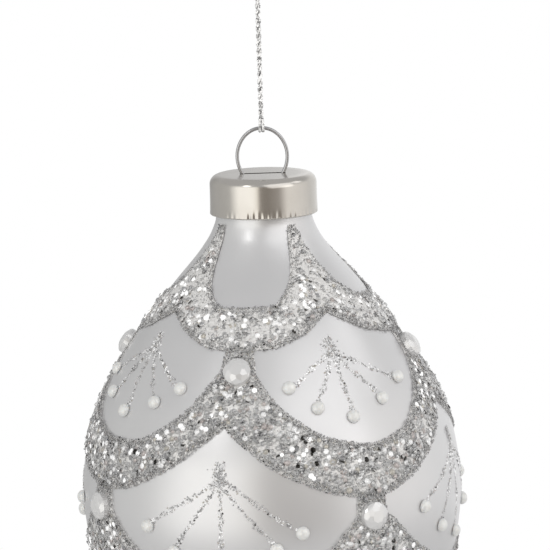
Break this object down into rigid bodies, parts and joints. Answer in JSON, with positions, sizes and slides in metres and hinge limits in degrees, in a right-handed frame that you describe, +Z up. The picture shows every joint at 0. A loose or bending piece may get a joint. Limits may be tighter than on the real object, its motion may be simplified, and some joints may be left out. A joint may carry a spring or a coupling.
{
  "type": "icicle hanging ornament",
  "caption": "Tall drop-shaped blown-glass hanging ornament with scalloped glitter garlands, stones and pearls, a metal cap with a wire ring, and a metallic hanging cord.",
  "frame": {"origin": "inside of the top of the cord's loop, where a hook or twig carries the ornament", "axes": "+Z up along the ornament's axis, +X to the right along the plane of the wire ring, -Y to the front"},
  "size_m": [0.0904, 0.0904, 0.2999],
  "materials": {
    "silver_cord": "twisted metallic silver thread",
    "spring_wire": "bright drawn spring wire",
    "champagne_nickel": "satin champagne-nickel plated sheet",
    "satin_pearl_glass": "opaque satin pearl-white lacquered blown glass",
    "silver_glitter": "silver glitter flakes in clear glue",
    "clear_stone": "clear faceted acrylic stone with a foiled back",
    "glitter_and_pearl": "fine silver glitter lines ending in white pearl domes"
  },
  "bodies": {
    "loop": {"cord_eye": "silver_cord"},
    "knot": {"cord_knot": "silver_cord"},
    "cord": {"hanging_cord": "silver_cord", "cord_bight": "silver_cord"},
    "hanger": {"wire_hanger": "spring_wire", "cap": "champagne_nickel"},
    "glass": {"glass_body": "satin_pearl_glass", "glitter_band_1": "silver_glitter", "glitter_band_2": "silver_glitter", "glitter_band_3": "silver_glitter", "glitter_band_4": "silver_glitter", "glitter_band_5": "silver_glitter", "glitter_band_6": "silver_glitter", "gem_2_1": "clear_stone", "gem_2_2": "clear_stone", "gem_2_3": "clear_stone", "gem_2_4": "clear_stone", "gem_3_1": "clear_stone", "gem_3_2": "clear_stone", "gem_3_3": "clear_stone", "gem_3_4": "clear_stone", "gem_4_1": "clear_stone", "gem_4_2": "clear_stone", "gem_4_3": "clear_stone", "gem_4_4": "clear_stone", "gem_5_1": "clear_stone", "gem_5_2": "clear_stone", "gem_5_3": "clear_stone", "gem_5_4": "clear_stone", "gem_6_1": "clear_stone", "gem_6_2": "clear_stone", "gem_6_3": "clear_stone", "gem_6_4": "clear_stone", "sprig_1_1": "glitter_and_pearl", "sprig_1_2": "glitter_and_pearl", "sprig_1_3": "glitter_and_pearl", "sprig_1_4": "glitter_and_pearl", "sprig_2_1": "glitter_and_pearl", "sprig_2_2": "glitter_and_pearl", "sprig_2_3": "glitter_and_pearl", "sprig_2_4": "glitter_and_pearl", "sprig_3_1": "glitter_and_pearl", "sprig_3_2": "glitter_and_pearl", "sprig_3_3": "glitter_and_pearl", "sprig_3_4": "glitter_and_pearl", "sprig_4_1": "glitter_and_pearl", "sprig_4_2": "glitter_and_pearl", "sprig_4_3": "glitter_and_pearl", "sprig_4_4": "glitter_and_pearl"}
  },
  "joints": [
    {"name": "cord_twist", "type": "hinge", "parent": "loop", "child": "knot", "pos_m": [0, 0, -0.0287], "axis": [0, 0, 1], "range_deg": [-180, 180]},
    {"name": "cord_swing", "type": "hinge", "parent": "knot", "child": "cord", "pos_m": [0, 0, -0.0304], "axis": [0, 1, 0], "range_deg": [-45, 45]},
    {"name": "ring_swing", "type": "hinge", "parent": "cord", "child": "hanger", "pos_m": [0, 0, -0.06105], "axis": [1, 0, 0], "range_deg": [-60, 60]},
    {"name": "glass_pull", "type": "slide", "parent": "hanger", "child": "glass", "axis": [0, 0, -1], "range_m": [0, 0.03]}
  ]
}
